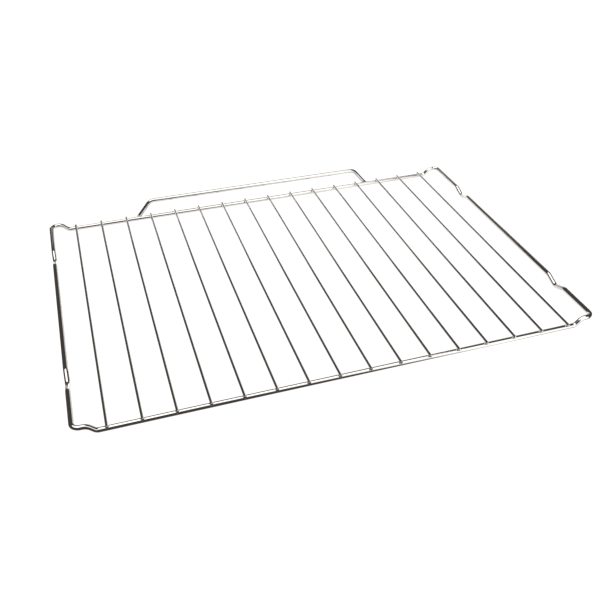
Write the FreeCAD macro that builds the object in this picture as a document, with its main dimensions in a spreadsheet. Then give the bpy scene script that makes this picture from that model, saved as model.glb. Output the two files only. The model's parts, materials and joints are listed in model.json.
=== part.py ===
import FreeCAD, Part
import math
import os
import Sketcher

# Oven shelf rack: thin rods welded across a bent frame wire, with a low guard wire along the back.
# The frame is centred on X. +X runs along the front rail, +Y to the back and +Z up.
# The front and back rails lie on Z = 0, and the middle of the whole depth is on Y = 0.

doc = FreeCAD.newDocument("oven_shelf_rack")

# Driving dimensions in millimetres and degrees: name, value, meaning
drivingSizes = [
    ("frame_width", 460, "over the two side rails"),
    ("frame_depth", 319, "over the front and back rails"),
    ("frame_wire", 4.5, "diameter of the frame's wire"),
    ("corner_radius", 6, "plan bend of each corner, to the wire's centre"),
    ("side_rise", 6.5, "side rails above the front and back rails"),
    ("shoulder_land", 1.1, "straight wire between a corner and its shoulder"),
    ("shoulder_angle", 45, "slope of the shoulder that steps down to a rail"),
    ("crest_bend", 9, "upper bend of a shoulder, to the wire's centre"),
    ("foot_bend", 5, "lower bend of a shoulder, to the wire's centre"),
    ("dip_depth", 4.5, "drop of the notch that a runner's stop falls into"),
    ("dip_angle", 21, "slope of a notch's flanks"),
    ("dip_bend", 8, "bends of a notch, to the wire's centre"),
    ("front_dip", 57, "front rail to the middle of the front notch"),
    ("back_dip", 66, "back rail to the middle of the back notch"),
    ("rod_wire", 2.5, "diameter of a cross rod"),
    ("rod_count", 16, "number of cross rods"),
    ("rod_margin", 5.85, "last cross rod to the foot of the shoulder"),
    ("rod_front_end", 3, "cross rods past the front rail's centre"),
    ("rod_back_end", 1.2, "cross rods past the back rail's centre"),
    ("weld_depth", 0.3, "how far a welded wire beds into the rail"),
    ("guard_wire", 4.5, "diameter of the guard's wire"),
    ("guard_length", 240, "guard's top bar between its bends"),
    ("guard_rise", 17.5, "guard's top bar above the back rail, centre to centre"),
    ("guard_angle", 50, "slope of the guard's legs"),
    ("guard_bend", 9, "bends of the guard, to the wire's centre"),
    ("guard_lift", 0.25, "guard's cut feet above the ground"),
]

sheet = doc.addObject("Spreadsheet::Sheet", "dims")
for row, (alias, size, meaning) in enumerate(drivingSizes, start=1):
    sheet.set(f"A{row}", alias)
    sheet.set(f"B{row}", str(size))
    sheet.set(f"C{row}", meaning)
    sheet.setAlias(f"B{row}", alias)
doc.recompute()

# Places that follow from the driving dimensions
railHeight = "dims.frame_wire / 2"
sideHeight = f"({railHeight} + dims.side_rise)"
sideX = "((dims.frame_width - dims.frame_wire) / 2)"
railY = "((dims.frame_depth - dims.frame_wire) / 2)"
cornerX = f"({sideX} - dims.corner_radius)"
cornerY = f"({railY} - dims.corner_radius)"
crestTangent = "dims.crest_bend * tan(dims.shoulder_angle / 2)"
footTangent = "dims.foot_bend * tan(dims.shoulder_angle / 2)"
shoulderTopX = f"({cornerX} - dims.shoulder_land - {crestTangent})"
shoulderFootX = f"({shoulderTopX} - dims.side_rise / tan(dims.shoulder_angle))"
lastRodX = f"({shoulderFootX} - {footTangent} - dims.rod_margin)"
rodPitch = f"(2 * {lastRodX} / (dims.rod_count - 1))"
rodAboveRail = "((dims.frame_wire + dims.rod_wire) / 2 - dims.weld_depth)"
guardBehindRail = "((dims.frame_wire + dims.guard_wire) / 2 - dims.weld_depth)"
frontReach = f"({railY} + max(dims.rod_front_end; dims.frame_wire / 2))"
backReach = f"({railY} + {guardBehindRail} + dims.guard_wire / 2)"
frameY = f"(({frontReach} - {backReach}) / 2)"

# A notch is a V with a round bottom, so its sharp point lies below the wire's lowest place
dipPoint = "(dims.dip_depth + dims.dip_bend * (1 / cos(dims.dip_angle) - 1))"
dipHalf = f"({dipPoint} / tan(dims.dip_angle))"

# Numbers that a sketch gives its two axes, and the start, end and centre of a curve
horizontalAxis, verticalAxis = -1, -2
startPoint, endPoint, centrePoint = 1, 2, 3
asConstruction = True
quarterTurn = 90


def measure(expression):
    return float(sheet.evalExpression(expression))


def originPlane(body, role):
    return next(feature for feature in body.Origin.OriginFeatures if feature.Role == role)


def newSketch(body, name, role, offset="0"):
    sketch = body.newObject("Sketcher::SketchObject", name)
    sketch.AttachmentSupport = [(originPlane(body, role), "")]
    sketch.MapMode = "FlatFace"
    sketch.setExpression(".AttachmentOffset.Base.z", offset)
    return sketch


def bind(sketch, constraint, expression):
    index = sketch.addConstraint(constraint)
    sketch.setExpression(f"Constraints[{index}]", expression)


def pinPoint(sketch, geometry, vertex, place):
    origin = (horizontalAxis, startPoint)
    for kind, axis, expression in zip(("DistanceX", "DistanceY"), (verticalAxis, horizontalAxis), place):
        distance = measure(expression)
        if distance == 0:
            sketch.addConstraint(Sketcher.Constraint("PointOnObject", geometry, vertex, axis))
        else:
            bind(sketch, Sketcher.Constraint(kind, *origin, geometry, vertex, distance), expression)


def addCircle(sketch, centre, diameter):
    middle = FreeCAD.Vector(measure(centre[0]), measure(centre[1]), 0)
    circle = sketch.addGeometry(Part.Circle(middle, FreeCAD.Vector(0, 0, 1), measure(diameter) / 2))
    pinPoint(sketch, circle, centrePoint, centre)
    bind(sketch, Sketcher.Constraint("Diameter", circle, measure(diameter)), diameter)


def tangentArc(before, corner, after, radius):
    towardsBefore = (before - corner).normalize()
    towardsAfter = (after - corner).normalize()
    halfAngle = towardsBefore.getAngle(towardsAfter) / 2
    start = corner + towardsBefore * (radius / math.tan(halfAngle))
    end = corner + towardsAfter * (radius / math.tan(halfAngle))
    bisector = (towardsBefore + towardsAfter).normalize()
    middle = corner + bisector * (radius / math.sin(halfAngle) - radius)
    return start, middle, end


def addBentLine(sketch, places, bends):
    # Straight runs between the places, with a tangent arc of its own radius at each inner place
    corners = [FreeCAD.Vector(measure(x), measure(y), 0) for x, y in places]
    arcs = [tangentArc(*corners[i:i + 3], measure(bend)) for i, bend in enumerate(bends)]
    starts = [corners[0]] + [arc[2] for arc in arcs]
    ends = [arc[0] for arc in arcs] + [corners[-1]]
    runs = [sketch.addGeometry(Part.LineSegment(*run)) for run in zip(starts, ends)]
    pinPoint(sketch, runs[0], startPoint, places[0])
    pinPoint(sketch, runs[-1], endPoint, places[-1])
    for i, (arc, bend) in enumerate(zip(arcs, bends)):
        curve = Part.ArcOfCircle(*arc)
        bendArc = sketch.addGeometry(curve)
        turnsLeft = curve.Axis.z > 0
        first, last = (startPoint, endPoint) if turnsLeft else (endPoint, startPoint)
        sketch.addConstraint(Sketcher.Constraint("Tangent", runs[i], endPoint, bendArc, first))
        sketch.addConstraint(Sketcher.Constraint("Tangent", bendArc, last, runs[i + 1], startPoint))
        bind(sketch, Sketcher.Constraint("Radius", bendArc, measure(bend)), bend)
        sharp = sketch.addGeometry(Part.Point(corners[i + 1]), asConstruction)
        sketch.addConstraint(Sketcher.Constraint("PointOnObject", sharp, startPoint, runs[i]))
        sketch.addConstraint(Sketcher.Constraint("PointOnObject", sharp, startPoint, runs[i + 1]))
        pinPoint(sketch, sharp, startPoint, places[i + 1])


def addPipe(body, name, profile, path):
    pipe = body.newObject("PartDesign::AdditivePipe", name)
    pipe.Profile = profile
    pipe.Spine = (path, [f"Edge{i + 1}" for i in range(len(path.Shape.Edges))])
    doc.recompute()
    return pipe


def mirrorWhole(body, name):
    mirror = body.newObject("PartDesign::Mirrored", name)
    mirror.TransformMode = "Whole shape"
    mirror.MirrorPlane = (originPlane(body, "YZ_Plane"), [""])
    body.Tip = mirror
    doc.recompute()


def makeFrameWire():
    body = doc.addObject("PartDesign::Body", "frame_wire")
    body.Label = "frame_wire"
    body.setExpression(".Placement.Base.y", frameY)

    # Right half of the front rail, up its shoulder to the corner
    path = newSketch(body, "front_rail_path", "XZ_Plane", railY)
    addBentLine(path, [("0", railHeight), (shoulderFootX, railHeight), (shoulderTopX, sideHeight),
                       (cornerX, sideHeight)], ["dims.foot_bend", "dims.crest_bend"])
    section = newSketch(body, "front_rail_section", "YZ_Plane")
    addCircle(section, (f"-{railY}", railHeight), "dims.frame_wire")
    doc.recompute()
    rail = addPipe(body, "front_rail", section, path)

    # The corner turns the wire about an upright axis
    section = newSketch(body, "front_corner_section", "YZ_Plane", cornerX)
    addCircle(section, (f"-{railY}", sideHeight), "dims.frame_wire")
    bottom = FreeCAD.Vector(-measure(cornerY), 0, 0)
    top = FreeCAD.Vector(-measure(cornerY), measure(sideHeight), 0)
    axis = section.addGeometry(Part.LineSegment(bottom, top), asConstruction)
    pinPoint(section, axis, startPoint, (f"-{cornerY}", "0"))
    pinPoint(section, axis, endPoint, (f"-{cornerY}", sideHeight))
    doc.recompute()
    corner = body.newObject("PartDesign::Revolution", "front_corner")
    corner.Profile = section
    corner.ReferenceAxis = (section, ["Axis0"])
    corner.Angle = quarterTurn
    doc.recompute()

    # Right side rail with its two notches
    path = newSketch(body, "side_rail_path", "YZ_Plane", sideX)
    places = [(f"-{cornerY}", sideHeight)]
    for middle in (f"(dims.front_dip - {railY})", f"({railY} - dims.back_dip)"):
        places.append((f"{middle} - {dipHalf}", sideHeight))
        places.append((middle, f"{sideHeight} - {dipPoint}"))
        places.append((f"{middle} + {dipHalf}", sideHeight))
    places.append((cornerY, sideHeight))
    addBentLine(path, places, ["dims.dip_bend"] * (len(places) - 2))
    section = newSketch(body, "side_rail_section", "XZ_Plane", cornerY)
    addCircle(section, (sideX, sideHeight), "dims.frame_wire")
    doc.recompute()
    addPipe(body, "side_rail", section, path)

    # The back rail repeats the front one, and the left half repeats the right one
    mirror = body.newObject("PartDesign::Mirrored", "back_rail")
    mirror.Originals = [rail, corner]
    mirror.MirrorPlane = (originPlane(body, "XZ_Plane"), [""])
    body.Tip = mirror
    doc.recompute()
    mirrorWhole(body, "left_half")
    return body


def makeCrossRod(number):
    label = f"cross_rod_{number:02d}"
    body = doc.addObject("PartDesign::Body", label)
    body.Label = label
    body.setExpression(".Placement.Base.x", f"{number - 1} * {rodPitch} - {lastRodX}")
    body.setExpression(".Placement.Base.y", frameY)
    body.setExpression(".Placement.Base.z", f"{railHeight} + {rodAboveRail}")

    section = newSketch(body, f"{label}_section", "XZ_Plane", f"{railY} + dims.rod_front_end")
    addCircle(section, ("0", "0"), "dims.rod_wire")
    rod = body.newObject("PartDesign::Pad", f"{label}_bar")
    rod.Profile = section
    rod.Reversed = True
    rod.setExpression("Length", f"2 * {railY} + dims.rod_front_end + dims.rod_back_end")

    # The weld beds the rod into both rails, so it is hollowed to their round tops
    seats = newSketch(body, f"{label}_seats", "YZ_Plane")
    for y in (f"-{railY}", railY):
        addCircle(seats, (y, f"-{rodAboveRail}"), "dims.frame_wire")
    saddle = body.newObject("PartDesign::Pocket", f"{label}_saddles")
    saddle.Profile = seats
    saddle.SideType = "Symmetric"
    saddle.setExpression("Length", "2 * dims.rod_wire")
    doc.recompute()
    return body


def makeRearGuard():
    body = doc.addObject("PartDesign::Body", "rear_guard")
    body.Label = "rear_guard"
    body.setExpression(".Placement.Base.y", f"{frameY} + {railY}")

    # Right half of the guard: half the top bar, the bend and one sloping leg
    barHeight = f"({railHeight} + dims.guard_rise)"
    toeHeight = "(dims.guard_lift + dims.guard_wire / 2 * cos(dims.guard_angle))"
    toeX = f"dims.guard_length / 2 + ({barHeight} - {toeHeight}) / tan(dims.guard_angle)"
    path = newSketch(body, "guard_path", "XZ_Plane", f"-{guardBehindRail}")
    addBentLine(path, [("0", barHeight), ("dims.guard_length / 2", barHeight), (toeX, toeHeight)],
                ["dims.guard_bend"])
    section = newSketch(body, "guard_section", "YZ_Plane")
    addCircle(section, (guardBehindRail, barHeight), "dims.guard_wire")
    doc.recompute()
    addPipe(body, "guard_half", section, path)
    mirrorWhole(body, "guard_whole")

    # The weld beds both legs into the back of the rail
    seat = newSketch(body, "guard_seat", "YZ_Plane")
    addCircle(seat, ("0", railHeight), "dims.frame_wire")
    saddle = body.newObject("PartDesign::Pocket", "guard_saddles")
    saddle.Profile = seat
    saddle.SideType = "Symmetric"
    saddle.setExpression("Length", "dims.frame_width")
    doc.recompute()
    return body


subParts = [makeFrameWire()]
for number in range(1, int(measure("dims.rod_count")) + 1):
    subParts.append(makeCrossRod(number))
subParts.append(makeRearGuard())
doc.recompute()

for item in doc.Objects:
    if "Invalid" in item.State or "Error" in item.State:
        raise RuntimeError(f"{item.Label} failed to build")
    if item.TypeId == "Sketcher::SketchObject" and not item.FullyConstrained:
        raise RuntimeError(f"{item.Label} is not fully constrained")
for part in subParts:
    if part.Shape.isNull() or not part.Shape.isValid() or len(part.Shape.Solids) != 1:
        raise RuntimeError(f"{part.Label} is not one sound solid")

os.makedirs("parts", exist_ok=True)
for part in subParts:
    part.Shape.exportStep(f"parts/{part.Label}.step")
    print(f"{part.Label}: {part.Shape.Volume:.2f} mm3")
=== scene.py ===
import bpy
import json
import math
from mathutils import Matrix, Vector


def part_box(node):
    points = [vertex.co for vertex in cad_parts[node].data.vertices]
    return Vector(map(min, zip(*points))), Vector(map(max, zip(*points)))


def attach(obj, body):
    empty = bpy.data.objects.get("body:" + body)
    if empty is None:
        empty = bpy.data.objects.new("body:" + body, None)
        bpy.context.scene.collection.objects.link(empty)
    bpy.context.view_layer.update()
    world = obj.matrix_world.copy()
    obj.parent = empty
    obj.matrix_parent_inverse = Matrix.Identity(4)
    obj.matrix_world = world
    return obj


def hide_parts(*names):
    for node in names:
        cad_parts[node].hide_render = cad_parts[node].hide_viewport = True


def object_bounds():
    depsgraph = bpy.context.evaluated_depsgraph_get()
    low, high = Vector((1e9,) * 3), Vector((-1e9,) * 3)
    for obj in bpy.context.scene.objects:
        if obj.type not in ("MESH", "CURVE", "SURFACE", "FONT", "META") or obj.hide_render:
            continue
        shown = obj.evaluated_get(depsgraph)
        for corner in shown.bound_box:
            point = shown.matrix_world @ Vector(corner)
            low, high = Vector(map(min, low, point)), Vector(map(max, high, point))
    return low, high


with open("model.json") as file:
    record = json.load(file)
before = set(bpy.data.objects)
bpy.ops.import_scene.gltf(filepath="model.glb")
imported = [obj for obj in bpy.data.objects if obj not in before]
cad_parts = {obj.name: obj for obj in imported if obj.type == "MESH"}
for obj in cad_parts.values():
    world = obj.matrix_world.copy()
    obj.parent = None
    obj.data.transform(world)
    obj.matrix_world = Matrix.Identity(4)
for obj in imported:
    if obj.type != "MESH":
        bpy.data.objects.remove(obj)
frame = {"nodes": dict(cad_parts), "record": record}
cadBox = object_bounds()
scene = bpy.context.scene
print("frame loaded:", len(frame["nodes"]), "nodes")

axisX, axisY, axisZ = Vector((1, 0, 0)), Vector((0, 1, 0)), Vector((0, 0, 1))
quarterTurn = math.radians(90)


# Hand tools

handTools = {
    "smoothAngle": math.radians(40),  # edges that turn more than this stay sharp
    "samePlace": 1e-6,
    "mirrorSeam": 1e-5,
}


def clearSelection():
    if bpy.context.object and bpy.context.object.mode != "OBJECT":
        bpy.ops.object.mode_set(mode="OBJECT")
    bpy.ops.object.select_all(action="DESELECT")


def startWire(name, at, heading, radius, sides):
    clearSelection()
    turn = heading.to_track_quat("Z", "Y").to_euler()
    bpy.ops.mesh.primitive_circle_add(vertices=sides, radius=radius, location=at, rotation=turn)
    bpy.context.object.name = name
    bpy.ops.object.transform_apply(location=True, rotation=True, scale=True)
    bpy.ops.object.mode_set(mode="EDIT")
    bpy.ops.mesh.select_all(action="SELECT")
    return {"at": Vector(at), "heading": Vector(heading)}


def runWire(path, length, longest):
    count = max(1, math.ceil(length / longest))
    step = path["heading"] * (length / count)
    for _ in range(count):
        bpy.ops.mesh.extrude_region_move(TRANSFORM_OT_translate={"value": step})
    path["at"] += path["heading"] * length


def bendWire(path, axis, radius, angle, ringStep):
    centre = path["at"] + axis.cross(path["heading"]) * radius
    steps = max(2, math.ceil(angle / ringStep))
    bpy.ops.mesh.spin(steps=steps, angle=-angle, center=centre, axis=axis)
    turn = Matrix.Rotation(angle, 3, axis)
    path["at"] = centre + turn @ (path["at"] - centre)
    path["heading"] = turn @ path["heading"]


def domeEnd(path, radius, edge, rings):
    # Rounds the cut edge over a quarter turn, then closes the flat that is left
    for i in range(rings):
        low, high = (quarterTurn * k / rings for k in (i, i + 1))
        advance = edge * (math.sin(high) - math.sin(low))
        shrink = (radius - edge * (1 - math.cos(high))) / (radius - edge * (1 - math.cos(low)))
        bpy.ops.mesh.extrude_region_move(TRANSFORM_OT_translate={"value": path["heading"] * advance})
        path["at"] += path["heading"] * advance
        bpy.ops.transform.resize(value=(shrink,) * 3, center_override=path["at"])
    bpy.ops.mesh.edge_face_add()


def swellWeld(middle, heading, facing, size):
    # Swells the wire's flanks where it was pressed hot into another wire, most at the weld's middle
    wire = bpy.context.object
    across = heading.cross(facing)
    bpy.ops.object.mode_set(mode="OBJECT")
    groups = {}
    for vertex in wire.data.vertices:
        offset = vertex.co - middle
        along, aside = offset.dot(heading), offset.dot(across)
        angle = round(math.degrees(math.atan2(offset.dot(facing), abs(aside))))
        if abs(along) < size["weldReach"] and angle in size["weldSwell"]:
            groups.setdefault((round(along, 6), angle, aside > 0), []).append(vertex.index)
    for (along, angle, right), places in groups.items():
        bpy.ops.object.mode_set(mode="EDIT")
        bpy.ops.mesh.select_all(action="DESELECT")
        bpy.ops.object.mode_set(mode="OBJECT")
        for i in places:
            wire.data.vertices[i].select = True
        bpy.ops.object.mode_set(mode="EDIT")
        push = size["weldSwell"][angle] * math.cos(quarterTurn * along / size["weldReach"]) ** 2
        bpy.ops.transform.translate(value=across * (push if right else -push))


def finishMesh():
    bpy.ops.object.mode_set(mode="EDIT")
    bpy.ops.mesh.select_all(action="SELECT")
    bpy.ops.mesh.remove_doubles(threshold=handTools["samePlace"])
    bpy.ops.mesh.normals_make_consistent(inside=False)
    bpy.ops.object.mode_set(mode="OBJECT")
    bpy.ops.object.shade_smooth_by_angle(angle=handTools["smoothAngle"])


def mirrorHalf():
    bpy.ops.object.mode_set(mode="OBJECT")
    bpy.ops.object.modifier_add(type="MIRROR")
    mirror = bpy.context.object.modifiers[-1]
    mirror.use_axis = (True, False, False)
    mirror.merge_threshold = handTools["mirrorSeam"]
    bpy.ops.object.modifier_apply(modifier=mirror.name)


# Camera

photoView = {
    "place": (-0.184065, -0.590793, 0.417309),
    "azimuth": -17.536,
    "elevation": 36.006,
    "roll": -0.296,
    "lens": 44.996,
    "sensor": 36,
    "clipStart": 0.01,
}


def makeCamera():
    bpy.ops.object.camera_add()
    camera = bpy.context.object
    camera.name = "photoCamera"
    camera.data.lens = photoView["lens"]
    camera.data.sensor_width = photoView["sensor"]
    camera.data.clip_start = photoView["clipStart"]
    swing = Matrix.Rotation(math.radians(photoView["azimuth"]), 4, "Z")
    tilt = Matrix.Rotation(math.radians(90 - photoView["elevation"]), 4, "X")
    roll = Matrix.Rotation(math.radians(photoView["roll"]), 4, "Z")
    camera.matrix_world = Matrix.Translation(photoView["place"]) @ swing @ tilt @ roll
    scene.camera = camera


clearSelection()
makeCamera()
print("camera set")


# Frame wire

frameWire = {
    "corner": 0.006,  # bends are measured to the wire's centre
    "land": 0.0011,  # straight wire between a corner and its shoulder
    "shoulderAngle": math.radians(45),
    "crestBend": 0.009,
    "footBend": 0.005,
    "notchDepth": 0.0045,
    "notchAngle": math.radians(21),
    "notchBend": 0.008,
    "frontNotch": 0.057,  # from the rail to the middle of the notch
    "backNotch": 0.066,
    "sides": 32,
    "ringStep": math.radians(4),
    "longestRun": 0.012,  # longest face along a straight run
}


def bendNotch(path, middle, size):
    # The wire drops to a round-bottomed V and comes up again
    angle, bend = size["notchAngle"], size["notchBend"]
    point = size["notchDepth"] + bend * (1 / math.cos(angle) - 1)
    topTangent = bend * math.tan(angle / 2)
    flank = point / math.sin(angle) - topTangent - bend * math.tan(angle)
    start = middle - point / math.tan(angle) - topTangent
    runWire(path, start - path["at"].y, size["longestRun"])
    bendWire(path, -axisX, bend, angle, size["ringStep"])
    runWire(path, flank, size["longestRun"])
    bendWire(path, axisX, bend, 2 * angle, size["ringStep"])
    runWire(path, flank, size["longestRun"])
    bendWire(path, -axisX, bend, angle, size["ringStep"])


railRadius = frame["record"]["mounts"][0]["dims"]["r_mm"] / 1000
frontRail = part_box("frame_wire")[0].y + railRadius
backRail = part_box("frame_wire")[1].y - railRadius


def makeFrameWire(size):
    low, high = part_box("frame_wire")
    radius, frontY, backY = railRadius, frontRail, backRail
    railZ, sideZ = low.z + radius, high.z - radius
    angle, crest, foot = size["shoulderAngle"], size["crestBend"], size["footBend"]
    crestTangent, footTangent = (bend * math.tan(angle / 2) for bend in (crest, foot))
    slope = (sideZ - railZ) / math.sin(angle) - crestTangent - footTangent
    cornerX = high.x - radius - size["corner"]
    footX = cornerX - size["land"] - crestTangent - (sideZ - railZ) / math.tan(angle) - footTangent

    path = startWire("frameWire", Vector((0, frontY, railZ)), axisX, radius, size["sides"])
    runWire(path, footX, size["longestRun"])
    bendWire(path, -axisY, foot, angle, size["ringStep"])
    runWire(path, slope, size["longestRun"])
    bendWire(path, axisY, crest, angle, size["ringStep"])
    runWire(path, cornerX - path["at"].x, size["longestRun"])
    bendWire(path, axisZ, size["corner"], quarterTurn, size["ringStep"])
    bendNotch(path, frontY + size["frontNotch"], size)
    bendNotch(path, backY - size["backNotch"], size)
    runWire(path, backY - size["corner"] - path["at"].y, size["longestRun"])
    bendWire(path, axisZ, size["corner"], quarterTurn, size["ringStep"])
    runWire(path, size["land"], size["longestRun"])
    bendWire(path, -axisY, crest, angle, size["ringStep"])
    runWire(path, slope, size["longestRun"])
    bendWire(path, axisY, foot, angle, size["ringStep"])
    print("frame wire is back at its rail:", [round(v, 6) for v in path["at"]])
    runWire(path, path["at"].x, size["longestRun"])
    mirrorHalf()
    finishMesh()
    return bpy.context.object


frameObject = makeFrameWire(frameWire)
print("frame wire:", len(frameObject.data.polygons), "faces")


# Cross rods

crossRod = {
    "sides": 24,
    "cutEdge": 0.00035,
    "cutRings": 4,
    "longestRun": 0.012,
    "weldReach": 0.0017,  # half the weld's length
    "weldRing": 0.0003,  # faces along the weld
    # degrees below the rod's side, and how far the weld swells out there
    "weldSwell": {15: 0.0001, 30: 0.0003, 45: 0.0009, 60: 0.0017},
}


def makeFirstRod(size):
    low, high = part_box("cross_rod_01")
    middle = (low + high) / 2
    radius = (high.x - low.x) / 2
    edge, reach = size["cutEdge"], size["weldReach"]
    path = startWire("crossRod01", Vector((middle.x, 0, middle.z)), axisY, radius, size["sides"])
    runWire(path, backRail - reach, size["longestRun"])
    runWire(path, high.y - edge - path["at"].y, size["weldRing"])
    domeEnd(path, radius, edge, size["cutRings"])
    # the first ring again, for the run to the front
    bpy.ops.mesh.select_all(action="DESELECT")
    bpy.ops.object.mode_set(mode="OBJECT")
    for vertex in bpy.context.object.data.vertices:
        vertex.select = abs(vertex.co.y) < handTools["samePlace"]
    bpy.ops.object.mode_set(mode="EDIT")
    path = {"at": Vector((middle.x, 0, middle.z)), "heading": -axisY}
    runWire(path, -frontRail - reach, size["longestRun"])
    runWire(path, path["at"].y - low.y - edge, size["weldRing"])
    domeEnd(path, radius, edge, size["cutRings"])
    for railY in (frontRail, backRail):
        swellWeld(Vector((middle.x, railY, middle.z)), axisY, -axisZ, size)
    finishMesh()
    return bpy.context.object


def copyRod(first, number):
    clearSelection()
    first.select_set(True)
    bpy.context.view_layer.objects.active = first
    bpy.ops.object.duplicate(linked=False)
    rod = bpy.context.object
    rod.name = f"crossRod{number:02d}"
    rod.data.name = rod.name
    rod.location.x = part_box(f"cross_rod_{number:02d}")[0].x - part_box("cross_rod_01")[0].x
    bpy.ops.object.transform_apply(location=True, rotation=True, scale=True)
    return rod


rodNodes = sorted(name for name in frame["nodes"] if name.startswith("cross_rod_"))
rodObjects = [makeFirstRod(crossRod)]
rodObjects += [copyRod(rodObjects[0], number) for number in range(2, len(rodNodes) + 1)]
print("cross rods:", len(rodObjects), "of", len(rodObjects[0].data.polygons), "faces")


# Rear guard

rearGuard = {
    "length": 0.24,
    "angle": math.radians(50),
    "bend": 0.009,
    "sides": 32,
    "cutEdge": 0.0005,
    "cutRings": 4,
    "ringStep": math.radians(4),
    "longestRun": 0.012,
    "weldReach": 0.0032,  # half the weld's length
    "weldRing": 0.0005,  # faces along the weld
    # degrees off the leg's side towards the rail, and how far the weld swells out there
    "weldSwell": {22: 0.0001, 34: 0.0003, 45: 0.0008, 56: 0.0012},
}


def makeRearGuard(size):
    low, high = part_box("rear_guard")
    radius = (high.y - low.y) / 2
    angle, bend = size["angle"], size["bend"]
    tangent = bend * math.tan(angle / 2)
    barZ = high.z - radius
    toeZ = low.z + radius * math.cos(angle)
    leg = (barZ - toeZ) / math.sin(angle) - tangent - size["cutEdge"]
    path = startWire("rearGuard", Vector((0, (low.y + high.y) / 2, barZ)), axisX, radius, size["sides"])
    runWire(path, size["length"] / 2 - tangent, size["longestRun"])
    bendWire(path, axisY, bend, angle, size["ringStep"])
    runWire(path, leg - size["weldReach"], size["longestRun"])
    runWire(path, size["weldReach"], size["weldRing"])
    domeEnd(path, radius, size["cutEdge"], size["cutRings"])
    toRail = (path["at"].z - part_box("frame_wire")[0].z - railRadius) / path["heading"].z
    swellWeld(path["at"] - path["heading"] * toRail, path["heading"], -axisY, size)
    mirrorHalf()
    finishMesh()
    return bpy.context.object


guardObject = makeRearGuard(rearGuard)
print("rear guard:", len(guardObject.data.polygons), "faces")


# Chrome

def addNode(tree, kind, **values):
    node = tree.nodes.new(kind)
    for name, value in values.items():
        setattr(node, name, value)
    return node


def mathNode(tree, operation, *values):
    node = addNode(tree, "ShaderNodeMath", operation=operation)
    for socket, value in zip(node.inputs, values):
        if isinstance(value, (int, float)):
            socket.default_value = value
        else:
            tree.links.new(value, socket)
    return node.outputs[0]


def softStep(tree, value, low, high):
    step = addNode(tree, "ShaderNodeMapRange", interpolation_type="SMOOTHSTEP")
    step.inputs["From Min"].default_value = low
    step.inputs["From Max"].default_value = high
    tree.links.new(value, step.inputs["Value"])
    return step.outputs["Result"]


def mixColour(tree, factor, first, second):
    mix = addNode(tree, "ShaderNodeMix", data_type="RGBA")
    tree.links.new(factor, mix.inputs["Factor"])
    for socket, value in zip([s for s in mix.inputs if s.type == "RGBA"], (first, second)):
        if isinstance(value, tuple):
            socket.default_value = value
        else:
            tree.links.new(value, socket)
    return next(s for s in mix.outputs if s.type == "RGBA")


def noiseNode(tree, place, grain):
    noise = addNode(tree, "ShaderNodeTexNoise")
    noise.inputs["Scale"].default_value = grain["scale"]
    noise.inputs["Detail"].default_value = grain["detail"]
    noise.inputs["Roughness"].default_value = grain["roughness"]
    tree.links.new(place, noise.inputs["Vector"])
    return noise.outputs[0]


def startGroup(name, outputs):
    group = bpy.data.node_groups.new(name, "ShaderNodeTree")
    group.interface.new_socket("Place", in_out="INPUT", socket_type="NodeSocketVector")
    for output in outputs:
        group.interface.new_socket(output, in_out="OUTPUT", socket_type="NodeSocketFloat")
    return group, addNode(group, "NodeGroupInput").outputs["Place"], addNode(group, "NodeGroupOutput")


def distanceNode(tree, *sides):
    joined = addNode(tree, "ShaderNodeCombineXYZ")
    for socket, side in zip(joined.inputs, sides):
        tree.links.new(side, socket)
    length = addNode(tree, "ShaderNodeVectorMath", operation="LENGTH")
    tree.links.new(joined.outputs[0], length.inputs[0])
    return length.outputs["Value"]


def awayFrom(tree, value, place):
    return mathNode(tree, "ABSOLUTE", mathNode(tree, "SUBTRACT", value, place))


plating = {
    "bright": (0.63, 0.61, 0.588, 1),
    "hazy": (0.58, 0.56, 0.538, 1),
    "heated": (0.61, 0.585, 0.555, 1),
    "smooth": 0.06,
    "hazeRoughness": 0.06,
    "weldRoughness": 0.05,
    "cutRoughness": 0.12,
    # distances at which a mark starts and is full: from a weld, and past a rod's front end
    "weldSpot": (0.0042, 0.0012),
    "cutSpot": (0.0005, 0.0002),
    "clouds": {"scale": 21, "detail": 5, "roughness": 0.6},
    "dimples": {"scale": 420, "detail": 2, "roughness": 0.5},
    "pits": {"scale": 1900, "detail": 2, "roughness": 0.5},
    "hazeEdges": (0.42, 0.7),  # where the clouds start to dull the plating, and dull it fully
    "pitShare": 0.2,
    "reliefStrength": 0.35,
    "reliefDepth": 0.00004,
}


def makeWeldMarks():
    # Where the wires cross: the heat of the weld dulls the plating, and the rods' front ends are cut
    group, place, end = startGroup("weldMarks", ("Weld", "Cut"))
    split = addNode(group, "ShaderNodeSeparateXYZ")
    group.links.new(place, split.inputs[0])
    x, y, z = split.outputs
    firstX, secondX = (sum(c.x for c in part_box(name)) / 2 for name in rodNodes[:2])
    besideRod = mathNode(group, "PINGPONG", mathNode(group, "SUBTRACT", x, firstX), (secondX - firstX) / 2)
    fromFront, fromBack = (awayFrom(group, y, railY) for railY in (frontRail, backRail))
    rodWeld = distanceNode(group, besideRod, mathNode(group, "MINIMUM", fromFront, fromBack))
    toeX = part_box("rear_guard")[1].x - railRadius
    besideToe = awayFrom(group, mathNode(group, "ABSOLUTE", x), toeX)
    fromSeam = mathNode(group, "SUBTRACT", y, backRail + railRadius)
    toeWeld = distanceNode(group, besideToe, fromSeam, mathNode(group, "SUBTRACT", z, railRadius))
    weld = softStep(group, mathNode(group, "MINIMUM", rodWeld, toeWeld), *plating["weldSpot"])
    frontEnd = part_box("cross_rod_01")[0].y
    cut = softStep(group, y, *(frontEnd + depth for depth in plating["cutSpot"]))
    group.links.new(weld, end.inputs["Weld"])
    group.links.new(cut, end.inputs["Cut"])
    return group


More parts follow.
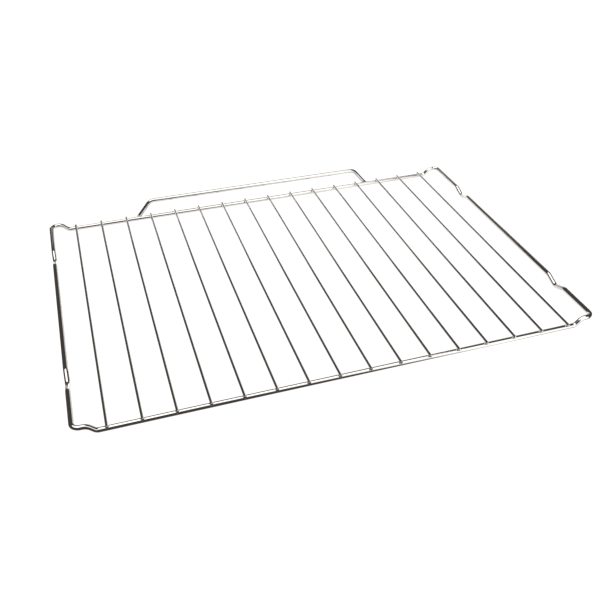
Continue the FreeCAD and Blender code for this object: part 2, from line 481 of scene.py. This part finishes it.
def makePlatedWire():
    # Slow clouds of haze, and the dimples and pits that drawn wire keeps under its plating
    group, place, end = startGroup("platedWire", ("Haze", "Relief"))
    grains = (plating["clouds"], plating["dimples"], plating["pits"])
    clouds, dimples, pits = (noiseNode(group, place, grain) for grain in grains)
    relief = mathNode(group, "MULTIPLY_ADD", pits, plating["pitShare"], dimples)
    group.links.new(softStep(group, clouds, *plating["hazeEdges"]), end.inputs["Haze"])
    group.links.new(relief, end.inputs["Relief"])
    return group


def makeChrome():
    material = bpy.data.materials.new("chromePlate")
    material.use_nodes = True
    tree = material.node_tree
    shader = tree.nodes["Principled BSDF"]
    place = addNode(tree, "ShaderNodeTexCoord").outputs["Object"]
    marks = addNode(tree, "ShaderNodeGroup", node_tree=makeWeldMarks())
    wire = addNode(tree, "ShaderNodeGroup", node_tree=makePlatedWire())
    for node in (marks, wire):
        tree.links.new(place, node.inputs["Place"])
    weld, cut, haze = marks.outputs["Weld"], marks.outputs["Cut"], wire.outputs["Haze"]
    colour = mixColour(tree, haze, plating["bright"], plating["hazy"])
    tree.links.new(mixColour(tree, weld, colour, plating["heated"]), shader.inputs["Base Color"])
    rough = plating["smooth"]
    for mask, amount in ((haze, "hazeRoughness"), (weld, "weldRoughness"), (cut, "cutRoughness")):
        rough = mathNode(tree, "MULTIPLY_ADD", mask, plating[amount], rough)
    tree.links.new(rough, shader.inputs["Roughness"])
    bump = addNode(tree, "ShaderNodeBump")
    bump.inputs["Strength"].default_value = plating["reliefStrength"]
    bump.inputs["Distance"].default_value = plating["reliefDepth"]
    tree.links.new(wire.outputs["Relief"], bump.inputs["Height"])
    tree.links.new(bump.outputs[0], shader.inputs["Normal"])
    shader.inputs["Metallic"].default_value = 1
    return material


chrome = makeChrome()
dressed = {frameObject: ["frame_wire"], guardObject: ["rear_guard"]}
dressed.update({rod: [node] for rod, node in zip(rodObjects, rodNodes)})
for piece, nodes in dressed.items():
    piece.data.materials.clear()
    piece.data.materials.append(chrome)
    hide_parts(*nodes)
    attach(piece, "root")
print("chrome on", len(dressed), "pieces")


# Floor and studio

studio = {
    "floorSize": 8,
    "floorDrop": 0.0002,
    "floorTone": 1.1,
    "roomTone": (0.078, 0.073, 0.068, 1),
    # round light, with its azimuth from +Y towards +X, and all its angles in degrees
    "overhead": {"azimuth": 255, "elevation": 80, "radius": 34, "softRim": 1, "brightness": 2.2},
    # flat cards round the shelf, tilted in degrees. An edge that fades out is a direction,
    # and the places along it where the card starts and is full
    "cards": {
        "lightTable": {
            "middle": (0.084, 0.152, -0.087), "tilt": 0, "size": (0.848, 0.694), "brightness": 1.17,
            "fades": (((1, 0, 0), -0.34, -0.26), ((1, 0, 0), 0.508, 0.478), ((0, 1, 0), -0.195, -0.181)),
        },
        "leftWall": {
            "middle": (-0.193, 0.492, 0.083), "tilt": 90, "size": (0.222, 0.34), "brightness": 0.67,
            "fades": (((-0.54, 0, -1), -0.091, -0.081),),
        },
        "rightWall": {
            "middle": (0.298, 0.492, 0.23), "tilt": 90, "size": (0.76, 0.634), "brightness": 0.67,
            "fades": (((0.54, 0, -1), -0.179, -0.169),),
        },
        "skirting": {
            "middle": (0.52, 0.49, -0.028), "tilt": 90, "size": (1.76, 0.118), "brightness": 2.2,
            "fades": (((0, 0, -1), -0.03, 0.005),),
        },
        "rightGlow": {
            "middle": (0.35, 0.488, 0.03), "tilt": 90, "size": (0.7, 0.24), "brightness": 1.8,
            "fades": (((0, 0, -1), -0.15, -0.06), ((1, 0, 0), 0.08, 0.2)),
        },
        "frontCard": {
            "middle": (0.33, -0.59, 0.06), "tilt": 90, "size": (0.74, 3.3), "brightness": 1.9,
            "fades": (((1, 0, 0.37), 0.12, 0.33), ((1, 0, 0), 0.7, 0.5),
                      ((0, 0, 1), 1.71, 1.61), ((0, 0, 1), -0.8, -0.5)),
        },
    },
}


def grey(level):
    return (level, level, level, 1)


def makeGlow(name, colour):
    material = bpy.data.materials.new(name)
    material.use_nodes = True
    tree = material.node_tree
    tree.nodes.remove(tree.nodes["Principled BSDF"])
    glow = addNode(tree, "ShaderNodeEmission")
    glow.inputs["Color"].default_value = colour
    tree.links.new(glow.outputs[0], tree.nodes["Material Output"].inputs["Surface"])
    return material, glow


def makeFloor():
    clearSelection()
    height = cadBox[0].z - studio["floorDrop"]
    bpy.ops.mesh.primitive_plane_add(size=studio["floorSize"], location=(0, 0, height))
    floor = bpy.context.object
    floor.name = "floor"
    bpy.ops.object.transform_apply(location=True, rotation=True, scale=True)
    floor.data.materials.append(makeGlow("paleFloor", grey(studio["floorTone"]))[0])
    floor.visible_glossy = False


def alongDirection(tree, place, direction):
    dot = addNode(tree, "ShaderNodeVectorMath", operation="DOT_PRODUCT")
    dot.inputs[1].default_value = direction
    tree.links.new(place, dot.inputs[0])
    return dot.outputs["Value"]


def makeCard(name, spec):
    clearSelection()
    turn = (math.radians(spec["tilt"]), 0, 0)
    bpy.ops.mesh.primitive_plane_add(size=1, location=spec["middle"], rotation=turn)
    card = bpy.context.object
    card.name = name
    card.scale = (*spec["size"], 1)
    bpy.ops.object.transform_apply(location=True, rotation=True, scale=True)
    material, glow = makeGlow(name + "Cloth", grey(spec["brightness"]))
    tree = material.node_tree
    place = addNode(tree, "ShaderNodeTexCoord").outputs["Object"]
    clear = addNode(tree, "ShaderNodeBsdfTransparent").outputs[0]
    shown = glow.outputs[0]
    for direction, outer, inner in spec["fades"]:
        along = alongDirection(tree, place, direction)
        mix = addNode(tree, "ShaderNodeMixShader")
        tree.links.new(softStep(tree, along, outer, inner), mix.inputs[0])
        tree.links.new(clear, mix.inputs[1])
        tree.links.new(shown, mix.inputs[2])
        shown = mix.outputs[0]
    tree.links.new(shown, tree.nodes["Material Output"].inputs["Surface"])
    card.data.materials.append(material)
    card.visible_camera = False
    card.visible_shadow = False


def makeStudio():
    world = bpy.data.worlds.new("softStudio")
    world.use_nodes = True
    scene.world = world
    tree = world.node_tree
    tree.nodes.clear()
    direction = addNode(tree, "ShaderNodeTexCoord").outputs["Generated"]
    light = studio["overhead"]
    swing, rise = math.radians(light["azimuth"]), math.radians(light["elevation"])
    towards = (math.sin(swing) * math.cos(rise), math.cos(swing) * math.cos(rise), math.sin(rise))
    rims = (light["radius"] + light["softRim"], light["radius"] - light["softRim"])
    outer, inner = (math.cos(math.radians(rim)) for rim in rims)
    lit = softStep(tree, alongDirection(tree, direction, towards), outer, inner)
    colour = mixColour(tree, lit, studio["roomTone"], grey(light["brightness"]))
    mirrored = addNode(tree, "ShaderNodeBackground")
    tree.links.new(colour, mirrored.inputs["Color"])
    seen = addNode(tree, "ShaderNodeBackground")
    seen.inputs["Color"].default_value = grey(studio["floorTone"])
    choice = addNode(tree, "ShaderNodeMixShader")
    tree.links.new(addNode(tree, "ShaderNodeLightPath").outputs["Is Camera Ray"], choice.inputs[0])
    tree.links.new(mirrored.outputs[0], choice.inputs[1])
    tree.links.new(seen.outputs[0], choice.inputs[2])
    tree.links.new(choice.outputs[0], addNode(tree, "ShaderNodeOutputWorld").inputs["Surface"])


makeFloor()
for cardName, spec in studio["cards"].items():
    makeCard(cardName, spec)
makeStudio()
scene.view_settings.view_transform = "Standard"
print("floor and studio set")
